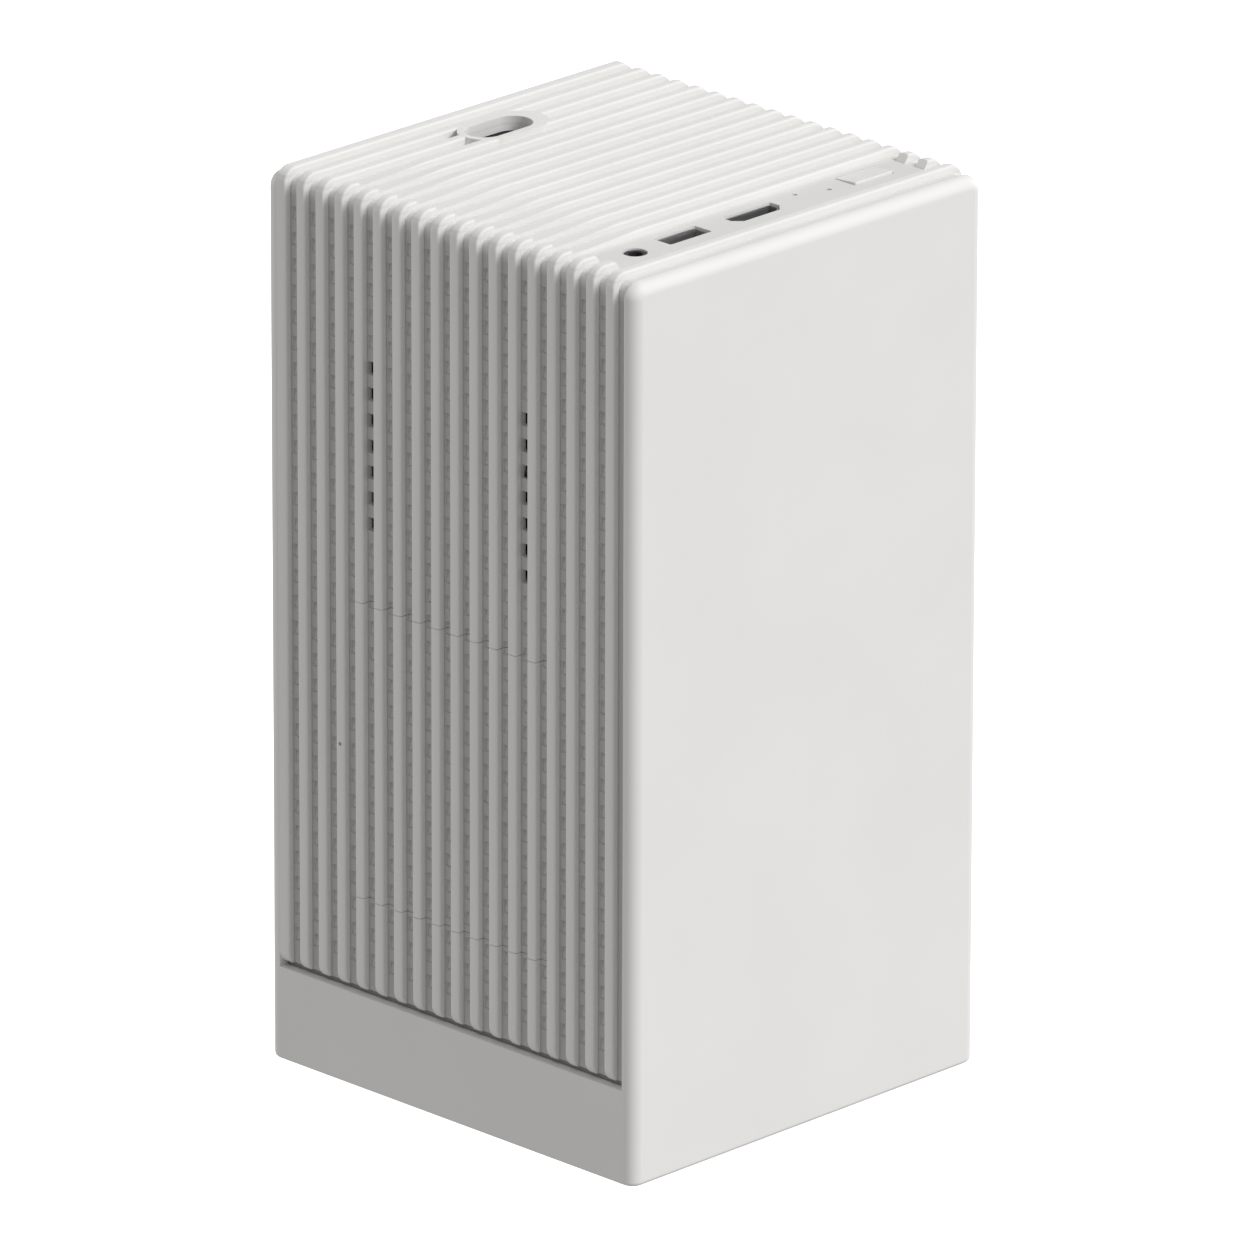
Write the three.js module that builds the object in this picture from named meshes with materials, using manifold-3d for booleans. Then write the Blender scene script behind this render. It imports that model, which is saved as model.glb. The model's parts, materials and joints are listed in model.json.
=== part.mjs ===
// Tower router: a smooth U-shaped shell, a ribbed hood between its two plates, and the works inside.
// Millimetres, +Z up. The origin is on the table under the middle of the tower; +Y is the rear plate's side.
import * as THREE from "three";
import { mergeVertices } from "three/addons/utils/BufferGeometryUtils.js";
import Module from "manifold-3d";

const wasm = await Module();
wasm.setup();

// ---------------------------------------------------------------- driving dimensions
const WIDTH = 120;              // along X, across the ribbed faces
const DEPTH = 125.2;            // along Y, from the front plate to the rear plate
const FOOT_PROUD = 0.8;         // how far the rubber feet stand out of the base
const COVER_TOP = FOOT_PROUD + 229.6;
const RIB_TOP = FOOT_PROUD + 231;
const BAND_TOP = FOOT_PROUD + 24.8;
const HOOD_BOTTOM = FOOT_PROUD + 25.3;
const GAP = 0.3;                // between neighbouring pieces

const PLATE = 3.7;              // front and rear plate thickness
const SIDE_CORNER = 3.4;        // upright corners of the shell
const TOP_CORNER = 4;           // ends of the top edges
const TOP_EDGE = 3;             // outer top edge of each plate
const BASE_EDGE = 1.2;
const FLOOR = 2.6;              // base floor
const WALL = 2.5;               // base side walls

const RIB_COUNT = 18;
const RIB_PITCH = 6.548;
const RIB_WIDTH = 2.9;
const RIB_DEPTH = 2;
const FIRST_RIB_Y = 58.6;       // +Y side of the first rib
const SKIN = 1.8;               // hood wall under the groove floors

const HATCH = { y0: -31.6, y1: 33.4, z0: FOOT_PROUD + 50, z1: FOOT_PROUD + 126.6 };
const STRIP = { y0: -52.4, y1: -36.1, nearX: -51.2, farX: 54.8 };   // flat strip with the sockets
const LIP = { x0: 55.4, x1: 57.2, z0: 21, z1: 28 };                // hood skirt inside the base wall
const STRIP_Z = RIB_TOP - RIB_DEPTH;
const UNDER_SKIN = STRIP_Z - SKIN;
const WELL = { x: 0, y: 42.8, reach: 4.9, radius: 4.9, wall: 1.5 };
const PAD = { x: 1.5, reach: 6, radius: 7 };
const SCOOP = { x0: -54, x1: -29, depth: 0.9 };

const JACK = { x: -40, y: -43.1, hole: 3.05, barrel: 2.7, bore: 1.8 };
const USB = { x: -22.9, y: -42.2, long: 14.1, high: 5.8 };
const HDMI = { x: 1.1, y: -42.5, long: 16.6, high: 5.4, chamfer: 2.2 };
const PINHOLE = { x: 17.7, y: -40, radius: 0.7 };
const LIGHT = { x: 26.4, y: -43.1, radius: 0.7 };
const BUTTON = { x0: 33.3, x1: 46.4, y0: -45.3, y1: -38.4, rise: 0.6, flange: 1.2 };

const IO_BOARD_Z = 211;         // underside of the socket board
const BOARD = 1.6;              // printed board thickness
const DECK_Z = 28.9;            // underside of the chassis deck
const DECK = 1.6;
const SHELF_Z = 206;
const POST = { x: 49, y: 49, size: 7 };
const FAN = { side: 80, z0: 31, z1: 46, bore: 37, hub: 15, blades: 7 };
const TRAY_Y = 8;
const ETHERNET = { ports: 4, pitch: 15, z0: 62, z1: 76, y0: 45 };
const BAY = { x0: -51, x1: 50, y0: -30, y1: -18, z0: 53, z1: 127, sheet: 1 };

// ---------------------------------------------------------------- solids
function solidOf(geometry) {
  const bare = geometry.index ? geometry.toNonIndexed() : geometry.clone();
  bare.deleteAttribute("normal");
  bare.deleteAttribute("uv");
  const merged = mergeVertices(bare, 1e-4);
  return new wasm.Manifold(new wasm.Mesh({
    numProp: 3,
    vertProperties: Float32Array.from(merged.attributes.position.array),
    triVerts: Uint32Array.from(merged.index.array),
  }));
}

function geometryOf(body) {
  const mesh = body.getMesh();
  const geometry = new THREE.BufferGeometry();
  geometry.setAttribute("position", new THREE.BufferAttribute(mesh.vertProperties, 3));
  geometry.setIndex(new THREE.BufferAttribute(mesh.triVerts, 1));
  geometry.computeVertexNormals();
  return geometry;
}

function block(x0, x1, y0, y1, z0, z1) {
  const box = new THREE.BoxGeometry(x1 - x0, y1 - y0, z1 - z0);
  return solidOf(box.translate((x0 + x1) / 2, (y0 + y1) / 2, (z0 + z1) / 2));
}

// A block centred on a point in plan
function slab(x, y, long, wide, z0, z1) {
  return block(x - long / 2, x + long / 2, y - wide / 2, y + wide / 2, z0, z1);
}

function upright(radius, x, y, z0, z1, sides = 16) {
  const rod = new THREE.CylinderGeometry(radius, radius, z1 - z0, sides);
  return solidOf(rod.rotateX(Math.PI / 2).translate(x, y, (z0 + z1) / 2));
}

function rodAlongX(radius, y, z, x0, x1, sides = 12) {
  const rod = new THREE.CylinderGeometry(radius, radius, x1 - x0, sides);
  return solidOf(rod.rotateZ(Math.PI / 2).translate((x0 + x1) / 2, y, z));
}

function rodAlongY(radius, x, z, y0, y1, sides = 12) {
  const rod = new THREE.CylinderGeometry(radius, radius, y1 - y0, sides);
  return solidOf(rod.translate(x, (y0 + y1) / 2, z));
}

// Prisms: an outline drawn in (X, Z), (Y, Z) or (X, Y), pushed along the third axis
function alongY(outline, y0, y1, curveSegments = 3) {
  const prism = new THREE.ExtrudeGeometry(outline, { depth: y1 - y0, bevelEnabled: false, curveSegments });
  return solidOf(prism.rotateX(Math.PI / 2).translate(0, y1, 0));
}

function alongX(outline, x0, x1, curveSegments = 3) {
  const prism = new THREE.ExtrudeGeometry(outline, { depth: x1 - x0, bevelEnabled: false, curveSegments });
  const turn = new THREE.Matrix4().makeBasis(
    new THREE.Vector3(0, 1, 0), new THREE.Vector3(0, 0, 1), new THREE.Vector3(1, 0, 0));
  return solidOf(prism.applyMatrix4(turn).translate(x0, 0, 0));
}

function alongZ(outline, z0, z1, curveSegments = 3) {
  const prism = new THREE.ExtrudeGeometry(outline, { depth: z1 - z0, bevelEnabled: false, curveSegments });
  return solidOf(prism.translate(0, 0, z0));
}

function polygon(points) {
  return new THREE.Shape(points.map(([a, b]) => new THREE.Vector2(a, b)));
}

// A rectangle a0..a1 by b0..b1 whose lower and upper corners have their own radii
function roundedOutline(a0, a1, b0, b1, low, high) {
  const shape = new THREE.Shape();
  shape.absarc(a1 - low, b0 + low, low, -Math.PI / 2, 0, false);
  shape.absarc(a1 - high, b1 - high, high, 0, Math.PI / 2, false);
  shape.absarc(a0 + high, b1 - high, high, Math.PI / 2, Math.PI, false);
  shape.absarc(a0 + low, b0 + low, low, Math.PI, Math.PI * 1.5, false);
  shape.closePath();
  return shape;
}

function stadium(x, y, reach, radius) {
  const shape = new THREE.Shape();
  shape.absarc(x + reach, y, radius, -Math.PI / 2, Math.PI / 2, false);
  shape.absarc(x - reach, y, radius, Math.PI / 2, Math.PI * 1.5, false);
  shape.closePath();
  return shape;
}

const joined = (bodies) => bodies.reduce((whole, body) => whole.add(body));
const less = (body, cuts) => cuts.reduce((rest, cut) => rest.subtract(cut), body);
const corners = (x, y) => [[-x, -y], [x, -y], [-x, y], [x, y]];
const CORNER_NAMES = ["front_left", "front_right", "rear_left", "rear_right"];

// ---------------------------------------------------------------- the scene graph
const router = new THREE.Group();

const FINISHES = {
  whitePlastic: { color: 0xe9e8e4, roughness: 0.62, metalness: 0 },
  blackPlastic: { color: 0x1b1b1c, roughness: 0.5, metalness: 0 },
  greyPlastic: { color: 0x8d8f91, roughness: 0.6, metalness: 0 },
  rubber: { color: 0x3b3c3d, roughness: 0.9, metalness: 0 },
  board: { color: 0x1f5b3c, roughness: 0.55, metalness: 0 },
  steel: { color: 0xb9bcc0, roughness: 0.35, metalness: 1 },
  aluminium: { color: 0xc9cbce, roughness: 0.42, metalness: 1 },
  clear: { color: 0xf2f4f5, roughness: 0.2, metalness: 0 },
  brass: { color: 0xb8924a, roughness: 0.4, metalness: 1 },
};

function add(name, finish, body) {
  const mesh = new THREE.Mesh(geometryOf(body), new THREE.MeshStandardMaterial(FINISHES[finish]));
  mesh.name = name;
  router.add(mesh);
}

// ---------------------------------------------------------------- shell
const FOOT = { x: 47, y: 49, radius: 6, recess: 1.2 };
const BASE_SCREW = { x: 41, y: 36, head: 3, shank: 1.5, boss: 4.5 };

function outerShell() {
  const halfW = WIDTH / 2;
  const halfD = DEPTH / 2;
  const inner = halfD - PLATE;
  const plan = roundedOutline(-halfW, halfW, -halfD, halfD, SIDE_CORNER, SIDE_CORNER);
  const front = roundedOutline(-halfW, halfW, FOOT_PROUD, COVER_TOP, BASE_EDGE, TOP_CORNER);
  const side = roundedOutline(-halfD, halfD, FOOT_PROUD, COVER_TOP, BASE_EDGE, TOP_EDGE);
  const envelope = alongZ(plan, 0, COVER_TOP + 1)
    .intersect(alongY(front, -halfD - 1, halfD + 1))
    .intersect(alongX(side, -halfW - 1, halfW + 1));
  const floorTop = FOOT_PROUD + FLOOR;
  const bosses = corners(BASE_SCREW.x, BASE_SCREW.y)
    .map(([x, y]) => upright(BASE_SCREW.boss, x, y, floorTop - 1, DECK_Z - GAP));
  const ethernet = ETHERNET.ports * ETHERNET.pitch / 2 + 1;
  let shell = less(envelope, [
    block(-halfW - 1, halfW + 1, -inner, inner, BAND_TOP, COVER_TOP + 2),
    block(-halfW + WALL, halfW - WALL, -inner, inner, floorTop, BAND_TOP + 1),
  ]);
  shell = shell.add(joined(bosses));
  const footSeats = corners(FOOT.x, FOOT.y)
    .map(([x, y]) => upright(FOOT.radius + GAP, x, y, -1, FOOT_PROUD + FOOT.recess, 24));
  const screwSeats = corners(BASE_SCREW.x, BASE_SCREW.y).flatMap(([x, y]) => [
    upright(BASE_SCREW.shank + GAP, x, y, -1, 40),
    upright(BASE_SCREW.head + GAP, x, y, -1, FOOT_PROUD + 1.6),
  ]);
  return less(shell, [
    ...footSeats,
    ...screwSeats,
    block(-ethernet, ethernet, inner - 1, halfD + 1, ETHERNET.z0 - GAP, ETHERNET.z1 + GAP),
  ]);
}

// ---------------------------------------------------------------- ribbed hood and its hatch
// The arch that the hood follows, set in from the rib tops
function arch(inset, topRadius, lowRadius) {
  const half = WIDTH / 2 - inset;
  return roundedOutline(-half, half, HOOD_BOTTOM, RIB_TOP - inset, lowRadius, topRadius);
}

const ribY = (index) => FIRST_RIB_Y - index * RIB_PITCH;
const HOOD_END = DEPTH / 2 - PLATE - GAP;

function wholeHood() {
  const cavityHalf = WIDTH / 2 - RIB_DEPTH - SKIN;
  const cavity = roundedOutline(-cavityHalf, cavityHalf, HOOD_BOTTOM - 5, UNDER_SKIN, 1, 1.2);
  let hood = alongY(arch(RIB_DEPTH, 2.4, 1.6), -HOOD_END, HOOD_END);
  for (let i = 0; i < RIB_COUNT; i++) {
    hood = hood.add(alongY(arch(0, 4, 3.4), ribY(i) - RIB_WIDTH, ribY(i)));
  }
  // Raised pad round the inlet well
  hood = hood.add(alongZ(stadium(PAD.x, WELL.y, PAD.reach, PAD.radius), STRIP_Z - 1, RIB_TOP));
  hood = less(hood, [alongY(cavity, -HOOD_END - 1, HOOD_END + 1)]);
  hood = joined([
    hood,
    block(-LIP.x1, -LIP.x0, -HOOD_END, HOOD_END, LIP.z0, LIP.z1),
    block(LIP.x0, LIP.x1, -HOOD_END, HOOD_END, LIP.z0, LIP.z1),
  ]);
  return hood.subtract(alongZ(stadium(WELL.x, WELL.y, WELL.reach, WELL.radius), RIB_TOP - 10, RIB_TOP + 1));
}

function topCuts() {
  const above = RIB_TOP + 1;
  const strip = polygon([
    [STRIP.nearX, STRIP_Z], [STRIP.farX, STRIP_Z], [STRIP.farX + 1.3, above], [STRIP.nearX - 2, above]]);
  const scoop = polygon([
    [SCOOP.x0, RIB_TOP - SCOOP.depth], [SCOOP.x1, RIB_TOP], [SCOOP.x1, above], [SCOOP.x0, above]]);
  const low = UNDER_SKIN - 1;
  const hdmi = polygon([
    [HDMI.x - HDMI.long / 2, HDMI.y + HDMI.high / 2],
    [HDMI.x - HDMI.long / 2, HDMI.y - HDMI.high / 2 + HDMI.chamfer],
    [HDMI.x - HDMI.long / 2 + HDMI.chamfer, HDMI.y - HDMI.high / 2],
    [HDMI.x + HDMI.long / 2 - HDMI.chamfer, HDMI.y - HDMI.high / 2],
    [HDMI.x + HDMI.long / 2, HDMI.y - HDMI.high / 2 + HDMI.chamfer],
    [HDMI.x + HDMI.long / 2, HDMI.y + HDMI.high / 2]]);
  return [
    alongY(strip, STRIP.y0, STRIP.y1),
    alongY(scoop, ribY(14) - RIB_WIDTH - 0.1, ribY(3) + 0.1),
    upright(JACK.hole, JACK.x, JACK.y, low, above, 20),
    slab(USB.x, USB.y, USB.long, USB.high, low, above),
    alongZ(hdmi, low, above),
    upright(PINHOLE.radius, PINHOLE.x, PINHOLE.y, low, above, 10),
    upright(LIGHT.radius, LIGHT.x, LIGHT.y, low, above, 10),
    block(BUTTON.x0 - GAP, BUTTON.x1 + GAP, BUTTON.y0 - GAP, BUTTON.y1 + GAP, low, above),
  ];
}

// Four snap pegs on the hatch, which push through the left baffle
const PEG = { radius: 1.2, y: [HATCH.y0 + 3, HATCH.y1 - 3], z: [HATCH.z0 + 3, HATCH.z1 - 3], tip: -51.5 };
const pegPlaces = PEG.y.flatMap((y) => PEG.z.map((z) => [y, z]));

function addHoodAndHatch() {
  const hood = less(wholeHood(), topCuts());
  const opening = block(-WIDTH, -40, HATCH.y0, HATCH.y1, HATCH.z0, HATCH.z1);
  const lid = block(-WIDTH, -40, HATCH.y0 + GAP, HATCH.y1 - GAP, HATCH.z0 + GAP, HATCH.z1 - GAP);
  const inside = -WIDTH / 2 + RIB_DEPTH + SKIN;
  const pegs = pegPlaces.map(([y, z]) => rodAlongX(PEG.radius, y, z, inside - 1, PEG.tip));
  const releaseHole = rodAlongX(0.5, ribY(3) - RIB_WIDTH / 2, FOOT_PROUD + 88.3, -WIDTH, -WIDTH / 2 + 3, 8);
  add("ribbed_hood", "whitePlastic", hood.subtract(opening).subtract(releaseHole));
  add("service_hatch", "whitePlastic", hood.intersect(lid).add(joined(pegs)));
}

// Thin sheets that back the vent slots; each has two open windows
const WINDOW = { grooves: [4, 12], half: 5.2, z0: 146, z1: 191 };

function addBaffles() {
  const outer = WIDTH / 2 - RIB_DEPTH - SKIN - GAP;
  const sheet = 1;
  const windowY = WINDOW.grooves.map((groove) => ribY(groove) - RIB_WIDTH - (RIB_PITCH - RIB_WIDTH) / 2);
  for (const [name, sign] of [["left_baffle", -1], ["right_baffle", 1]]) {
    const [x0, x1] = sign < 0 ? [-outer, -outer + sheet] : [outer - sheet, outer];
    const cuts = windowY
      .map((y) => block(x0 - 1, x1 + 1, y - WINDOW.half, y + WINDOW.half, WINDOW.z0, WINDOW.z1));
    if (sign < 0) {
      cuts.push(block(x0 - 1, x1 + 1, HATCH.y0 + 6, HATCH.y1 - 6, HATCH.z0 + 6, HATCH.z1 - 6));
      cuts.push(...pegPlaces.map(([y, z]) => rodAlongX(PEG.radius + GAP, y, z, x0 - 1, x1 + 1)));
    }
    add(name, "whitePlastic", less(block(x0, x1, -56, 56, 32, 224), cuts));
  }
}

// ---------------------------------------------------------------- sockets, button and lights on the top
function socketShell(socket, long, high, wall, top) {
  const base = IO_BOARD_Z + BOARD + GAP;
  return slab(socket.x, socket.y, long, high, base, top)
    .subtract(slab(socket.x, socket.y, long - 2 * wall, high - 2 * wall, base + 3, top + 1));
}

function addTopSockets() {
  const top = STRIP_Z - 0.35;
  const base = IO_BOARD_Z + BOARD + GAP;
  add("audio_jack", "blackPlastic", joined([
    slab(JACK.x, JACK.y, 9, 8, base, UNDER_SKIN - GAP),
    upright(JACK.barrel, JACK.x, JACK.y, UNDER_SKIN - 1, top, 20),
  ]).subtract(upright(JACK.bore, JACK.x, JACK.y, base + 2, top + 1, 16)));
  add("usb_a_port", "steel", socketShell(USB, 13.3, 5.2, 0.4, top));
  add("usb_a_tongue", "whitePlastic", slab(USB.x, USB.y - 0.9, 11.4, 1.8, base + 3 + GAP, top - 1));
  const wide = 15.6;
  const high = 4.7;
  const cut = 1.7;
  const y0 = HDMI.y - high / 2;
  const y1 = HDMI.y + high / 2;
  const outline = (inset) => polygon([
    [HDMI.x - wide / 2 + inset, y1 - inset], [HDMI.x - wide / 2 + inset, y0 + cut + inset / 2],
    [HDMI.x - wide / 2 + cut + inset / 2, y0 + inset], [HDMI.x + wide / 2 - cut - inset / 2, y0 + inset],
    [HDMI.x + wide / 2 - inset, y0 + cut + inset / 2], [HDMI.x + wide / 2 - inset, y1 - inset]]);
  add("hdmi_port", "steel", alongZ(outline(0), base, top).subtract(alongZ(outline(0.4), base + 3, top + 1)));
  add("hdmi_tongue", "blackPlastic", slab(HDMI.x, HDMI.y + 0.3, 11, 1.2, base + 3 + GAP, top - 1.5));

  const pipe = upright(0.4, LIGHT.x, LIGHT.y, UNDER_SKIN - 1, STRIP_Z - 0.1, 10)
    .add(upright(1.6, LIGHT.x, LIGHT.y, base + 1.6, UNDER_SKIN - GAP, 12));
  add("status_light_pipe", "clear", pipe);
}

const SWITCH_TOP = IO_BOARD_Z + BOARD + GAP + 3.5;

function addButtons() {
  const centreX = (BUTTON.x0 + BUTTON.x1) / 2;
  const centreY = (BUTTON.y0 + BUTTON.y1) / 2;
  const skirt = UNDER_SKIN - 2;
  const side = polygon([
    [BUTTON.y0, skirt], [BUTTON.y1, skirt], [BUTTON.y1, STRIP_Z + 0.1], [BUTTON.y0, STRIP_Z + BUTTON.rise]]);
  const cap = alongX(side, BUTTON.x0, BUTTON.x1);
  const flange = block(BUTTON.x0 - BUTTON.flange, BUTTON.x1 + BUTTON.flange,
    BUTTON.y0 - BUTTON.flange, BUTTON.y1 + BUTTON.flange, skirt - 1, UNDER_SKIN - GAP - 0.6);
  const stem = upright(1.6, centreX, centreY, SWITCH_TOP + 1, skirt, 12);
  add("power_button", "whitePlastic", joined([cap, flange, stem]));
  add("power_switch", "blackPlastic", slab(centreX, centreY, 6, 6, SWITCH_TOP - 3.5, SWITCH_TOP - 1)
    .add(upright(1.6, centreX, centreY, SWITCH_TOP - 2, SWITCH_TOP, 12)));
  const plunger = upright(0.45, PINHOLE.x, PINHOLE.y, UNDER_SKIN - 3, UNDER_SKIN + 0.4, 10)
    .add(upright(1.3, PINHOLE.x, PINHOLE.y, SWITCH_TOP + 0.6, UNDER_SKIN - 2.5, 10));
  add("reset_button", "greyPlastic", plunger);
  add("reset_switch", "blackPlastic", slab(PINHOLE.x, PINHOLE.y, 3.6, 3.6, SWITCH_TOP - 3.5, SWITCH_TOP - 1)
    .add(upright(0.9, PINHOLE.x, PINHOLE.y, SWITCH_TOP - 2, SWITCH_TOP, 10)));
}

// ---------------------------------------------------------------- power inlet and supply
const INLET_TOP = UNDER_SKIN - GAP;
const SUPPLY_Y = 26;

function addPowerSupply() {
  const body = alongZ(stadium(WELL.x, WELL.y, WELL.reach, WELL.radius + WELL.wall), INLET_TOP - 14, INLET_TOP);
  const mouth = alongZ(stadium(WELL.x, WELL.y, WELL.reach, WELL.radius - 0.4), INLET_TOP - 10, INLET_TOP + 1);
  add("power_inlet", "blackPlastic", body.subtract(mouth));
  for (const [name, side] of [["inlet_pin_left", -1], ["inlet_pin_right", 1]]) {
    add(name, "brass", upright(1.1, WELL.x + side * 4.3, WELL.y, INLET_TOP - 10 + GAP, INLET_TOP - 3, 10));
  }

  add("power_board", "board", block(-44, 44, SUPPLY_Y, SUPPLY_Y + BOARD, 84, 200));
  const parts = SUPPLY_Y + BOARD + GAP;
  add("transformer", "blackPlastic", joined([
    block(-22, 12, parts, parts + 22, 120, 150),
    block(-24, 14, parts + 5, parts + 17, 116, 154),
  ]));
  add("mains_capacitor", "blackPlastic", rodAlongY(9, -32, 104, parts, parts + 22, 20));
  add("output_capacitor", "blackPlastic", rodAlongY(5, 28, 140, parts, parts + 16, 16));
  add("supply_heat_sink", "aluminium", joined([
    block(22, 42, parts, parts + 2, 92, 116),
    ...[0, 1, 2, 3, 4].map((i) => block(22 + i * 4.6, 23.6 + i * 4.6, parts + 1, parts + 16, 92, 116)),
  ]));
  const route = new THREE.CatmullRomCurve3([
    new THREE.Vector3(0, WELL.y, INLET_TOP - 14 - GAP), new THREE.Vector3(0, WELL.y, 206),
    new THREE.Vector3(-4, WELL.y - 4, 196), new THREE.Vector3(-6, WELL.y - 6, 184),
    new THREE.Vector3(-6, SUPPLY_Y + 9, 174), new THREE.Vector3(-6, SUPPLY_Y + 9, 168.5)]);
  const section = new THREE.Shape().absellipse(0, 0, 2.6, 1.6, 0, Math.PI * 2);
  const lead = new THREE.ExtrudeGeometry(section, { steps: 24, extrudePath: route, curveSegments: 5 });
  add("inlet_lead", "blackPlastic", solidOf(lead));
  add("supply_connector", "whitePlastic", block(-12, 0, parts, parts + 11, 158, 168));
}

// ---------------------------------------------------------------- chassis, boards and cooling
const BOARD_FACE = TRAY_Y - 4.5;          // front face of the main board
const BOARD_CORNERS = corners(38, 70).map(([x, z]) => [x, z + 130]);

function addChassis() {
  const shelf = block(-53.5, 53.5, -55, 55, SHELF_Z, SHELF_Z + DECK)
    .subtract(block(-40, 40, -26, 46, SHELF_Z - 1, SHELF_Z + 3));
  const posts = corners(POST.x, POST.y)
    .map(([x, y]) => slab(x, y, POST.size, POST.size, DECK_Z + DECK - 0.5, SHELF_Z + 0.5));
  const studs = [[-47, -34], [-47, -50], [49, -34], [49, -50]]
    .map(([x, y]) => upright(2.2, x, y, SHELF_Z + 1, IO_BOARD_Z - GAP, 6));
  const deck = block(-53.5, 53.5, -55, 55, DECK_Z, DECK_Z + DECK);
  add("chassis_frame", "steel", less(joined([deck, shelf, ...posts, ...studs]), [
    upright(FAN.bore, 0, 0, DECK_Z - 1, DECK_Z + DECK + 1, 40),
    ...corners(BASE_SCREW.x, BASE_SCREW.y).map(([x, y]) => upright(BASE_SCREW.shank + GAP, x, y, 0, 40)),
  ]));
  add("board_tray", "aluminium", joined([
    block(-44, 44, TRAY_Y, TRAY_Y + 1.5, 50, SHELF_Z - 2),
    block(-44, 44, TRAY_Y, TRAY_Y + 12, SHELF_Z - 2.5, SHELF_Z - 1),
    ...BOARD_CORNERS.map(([x, z]) => rodAlongY(2.5, x, z, BOARD_FACE + BOARD + GAP, TRAY_Y + 0.5, 6)),
  ]));
}

function addMainBoard() {
  add("main_board", "board", block(-43, 43, BOARD_FACE, BOARD_FACE + BOARD, 54, 202));
  const chips = BOARD_FACE - GAP;
  add("processor", "blackPlastic", block(-11, 11, chips - 1.8, chips, 139, 161));
  add("memory_chip_left", "blackPlastic", block(-16, -4, chips - 1.2, chips, 174, 186));
  add("memory_chip_right", "blackPlastic", block(4, 16, chips - 1.2, chips, 174, 186));
  const can = (x0, x1, z0, z1) => block(x0, x1, chips - 4, chips, z0, z1)
    .subtract(block(x0 + 0.6, x1 - 0.6, chips - 3.4, chips + 1, z0 + 0.6, z1 - 0.6));
  add("radio_shield_2g", "steel", can(-36, -14, 92, 116));
  add("radio_shield_5g", "steel", can(-11, 11, 92, 116));
  add("radio_shield_6g", "steel", can(14, 36, 92, 116));
  const base = chips - 1.8 - GAP;
  const fins = Array.from({ length: 12 }, (_, i) => -29 + i * 5.2)
    .map((x) => block(x, x + 1.2, base - 26, base - 2, 130, 170));
  add("heat_sink", "aluminium", joined([block(-29, 29.4, base - 3, base, 130, 170), ...fins]));
}

function addFan() {
  const half = FAN.side / 2;
  const hub = (z0, z1, radius) => upright(radius, 0, 0, z0, z1, 20);
  const frame = less(block(-half, half, -half, half, FAN.z0, FAN.z1), [
    upright(FAN.bore, 0, 0, FAN.z0 - 1, FAN.z1 + 1, 40),
    ...corners(half - 4.5, half - 4.5).map(([x, y]) => upright(2.2, x, y, FAN.z0 - 1, FAN.z1 + 1, 10)),
  ]);
  const arms = [0, 1, 2].map((i) => {
    const arm = new THREE.BoxGeometry(FAN.bore + 0.5, 3, 1.6).translate(FAN.bore / 2, 0, FAN.z0 + 0.8);
    return solidOf(arm.rotateZ(i * Math.PI * 2 / 3));
  });
  add("fan_frame", "blackPlastic", joined([frame, ...arms, hub(FAN.z0, FAN.z0 + 2.2, FAN.hub)]));
  const blades = Array.from({ length: FAN.blades }, (_, i) => {
    const blade = new THREE.BoxGeometry(FAN.bore - FAN.hub - 0.7, 14, 1.2).rotateX(0.5);
    blade.translate((FAN.bore + FAN.hub) / 2 - 0.9, 0, FAN.z0 + 8.6);
    return solidOf(blade.rotateZ(i * Math.PI * 2 / FAN.blades));
  });
  add("fan_rotor", "blackPlastic", joined([hub(FAN.z0 + 2.2 + GAP, FAN.z1 - 0.6, FAN.hub), ...blades]));
  corners(half - 4.5, half - 4.5).forEach(([x, y], i) => add("fan_screw_" + CORNER_NAMES[i], "steel", joined([
    upright(1.6, x, y, DECK_Z + DECK + GAP, FAN.z1 + 0.5, 10),
    upright(3, x, y, FAN.z1 + GAP, FAN.z1 + 2.2, 12)])));
}

// ---------------------------------------------------------------- network sockets, storage, antennas
function addNetwork() {
  const half = ETHERNET.ports * ETHERNET.pitch / 2;
  const face = DEPTH / 2 - 0.4;
  const cuts = Array.from({ length: ETHERNET.ports }, (_, i) => {
    const x = -half + ETHERNET.pitch * (i + 0.5);
    return [
      block(x - 5.9, x + 5.9, ETHERNET.y0 + 4, face + 1, ETHERNET.z0 + 2, ETHERNET.z0 + 9.6),
      block(x - 3, x + 3, face - 7, face + 1, ETHERNET.z0 + 9, ETHERNET.z0 + 11.6),
    ];
  }).flat();
  const housing = block(-half, half, ETHERNET.y0, face, ETHERNET.z0, ETHERNET.z1);
  add("ethernet_block", "greyPlastic", less(housing, cuts));
  add("network_board", "board", block(-36, 36, 20, 57, ETHERNET.z0 - GAP - BOARD, ETHERNET.z0 - GAP));
  add("network_transformer", "blackPlastic", block(-24, 24, 26, 40, ETHERNET.z0, ETHERNET.z0 + 6));
}

function addStorage() {
  const { x0, x1, y0, y1, z0, z1, sheet } = BAY;
  add("drive_bay", "steel", block(x0, x1, y0, y1, z0, z1)
    .subtract(block(x0 - 1, x1 - sheet, y0 + sheet, y1 - sheet, z0 + sheet, z1 - sheet)));
  const section = roundedOutline(y0 + sheet + 1.4, y1 - sheet - 1.4, z0 + sheet + 1, z1 - sheet - 1, 0.8, 0.8);
  add("storage_drive", "aluminium", alongX(section, x0 + 1, x1 - sheet - 1));
}

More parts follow.
